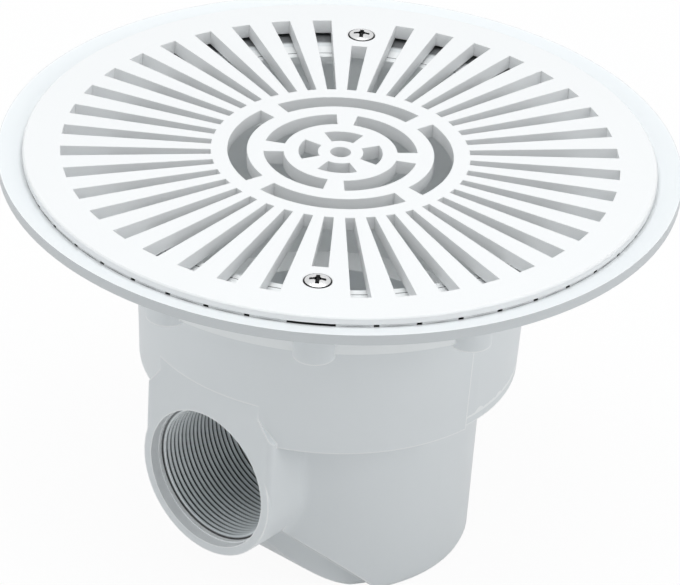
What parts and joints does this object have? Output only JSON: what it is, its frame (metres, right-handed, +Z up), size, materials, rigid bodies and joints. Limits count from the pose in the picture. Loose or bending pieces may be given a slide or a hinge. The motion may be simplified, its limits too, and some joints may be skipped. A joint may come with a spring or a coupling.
{
  "type": "pool main drain",
  "caption": "Round plastic pool floor drain: slotted flat grate screwed into a dished flange, over a stepped bowl and pot with one threaded side outlet.",
  "frame": {"origin": "on the drain axis at the underside of the flat pot floor", "axes": "+Z up along the drain axis towards the grate, -Y out of the side outlet"},
  "size_m": [0.2766, 0.2766, 0.1756],
  "materials": {
    "body_plastic": "satin white moulded plastic",
    "grate_plastic": "satin white moulded plastic",
    "screw_steel": "bright stainless"
  },
  "bodies": {
    "root": {"body": "body_plastic", "grate": "grate_plastic", "grate_screws": "screw_steel"}
  },
  "joints": []
}
